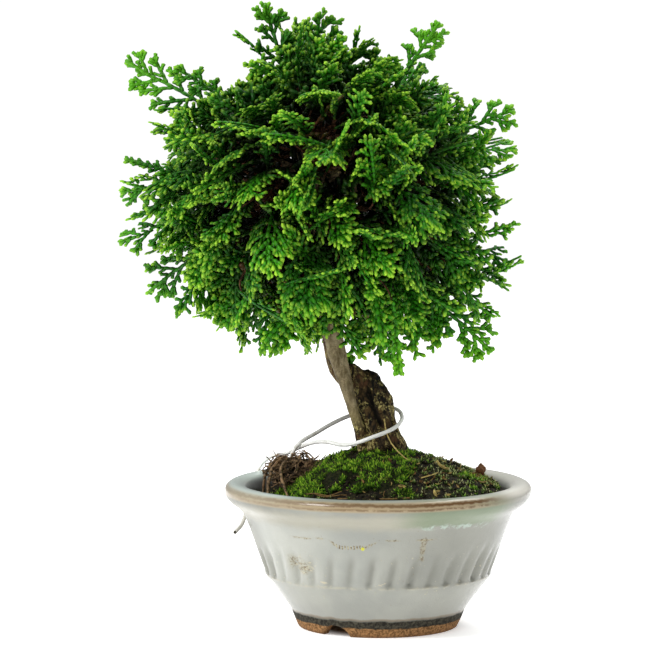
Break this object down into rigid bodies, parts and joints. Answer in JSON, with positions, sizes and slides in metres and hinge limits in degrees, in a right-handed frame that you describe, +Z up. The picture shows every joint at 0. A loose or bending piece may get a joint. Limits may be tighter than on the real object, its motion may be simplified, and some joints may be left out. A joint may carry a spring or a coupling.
{
  "type": "hinoki cypress bonsai",
  "caption": "Small potted cypress tree: round crown of flat fan sprays on a leaning trunk, mossy soil mound, fluted glazed round pot with notched foot.",
  "frame": {"origin": "middle of the footprint box, on the surface that the pot stands on", "axes": "+Z up, +Y away from the tree's front, +X to the right seen from the front"},
  "size_m": [0.2016, 0.17, 0.3062],
  "materials": {
    "glaze": "pale grey-white gloss glaze that breaks brown on the rim, bare brown clay at the foot",
    "screen": "black moulded mesh",
    "soil": "dark crumbly earth",
    "moss": "short green moss",
    "dead_root": "dry dark brown rootlets",
    "wire_coating": "white plastic coating",
    "bark": "grey-brown bark, smooth on the live stem, dark and rough on the old trunk",
    "foliage": "green scale leaves with lighter yellow-green tips"
  },
  "bodies": {
    "root": {"pot": "glaze", "drain_screen": "screen", "soil": "soil", "moss": "moss", "root_tangle": "dead_root", "tie_wire": "wire_coating", "trunk": "bark", "leafy_branch_01": "foliage", "leafy_branch_02": "foliage", "leafy_branch_03": "foliage", "leafy_branch_04": "foliage", "leafy_branch_05": "foliage", "leafy_branch_06": "foliage", "leafy_branch_07": "foliage", "leafy_branch_08": "foliage", "leafy_branch_09": "foliage", "leafy_branch_10": "foliage", "leafy_branch_11": "foliage", "leafy_branch_12": "foliage", "leafy_branch_13": "foliage", "leafy_branch_14": "foliage", "leafy_branch_15": "foliage", "leafy_branch_16": "foliage", "leafy_branch_17": "foliage", "leafy_branch_18": "foliage", "leafy_branch_19": "foliage", "leafy_branch_20": "foliage", "leafy_branch_21": "foliage", "leafy_branch_22": "foliage", "leafy_branch_23": "foliage", "leafy_branch_24": "foliage", "leafy_branch_25": "foliage", "leafy_branch_26": "foliage", "leafy_branch_27": "foliage", "leafy_branch_28": "foliage", "leafy_branch_29": "foliage", "leafy_branch_30": "foliage", "leafy_branch_31": "foliage", "leafy_branch_32": "foliage", "leafy_branch_33": "foliage", "leafy_branch_34": "foliage"}
  },
  "joints": []
}
